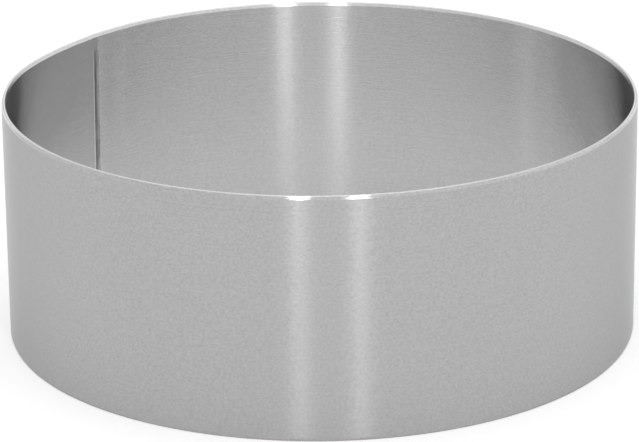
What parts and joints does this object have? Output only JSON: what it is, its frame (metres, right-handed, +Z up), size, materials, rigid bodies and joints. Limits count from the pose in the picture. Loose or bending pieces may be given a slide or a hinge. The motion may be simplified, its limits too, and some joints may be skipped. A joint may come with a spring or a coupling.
{
  "type": "pastry ring",
  "caption": "Open round band of brushed stainless sheet, rolled and butt-welded, for shaping and cutting pastry, mousse and rice.",
  "frame": {"origin": "middle of the base, on the ring's axis", "axes": "+Z up the ring's axis, -Y towards the camera, the weld stands at 139.4 degrees from +X towards +Y"},
  "size_m": [0.13, 0.13, 0.05],
  "materials": {
    "stainless_steel": "brushed round the band"
  },
  "bodies": {
    "root": {"ring_band": "stainless_steel"}
  },
  "joints": []
}
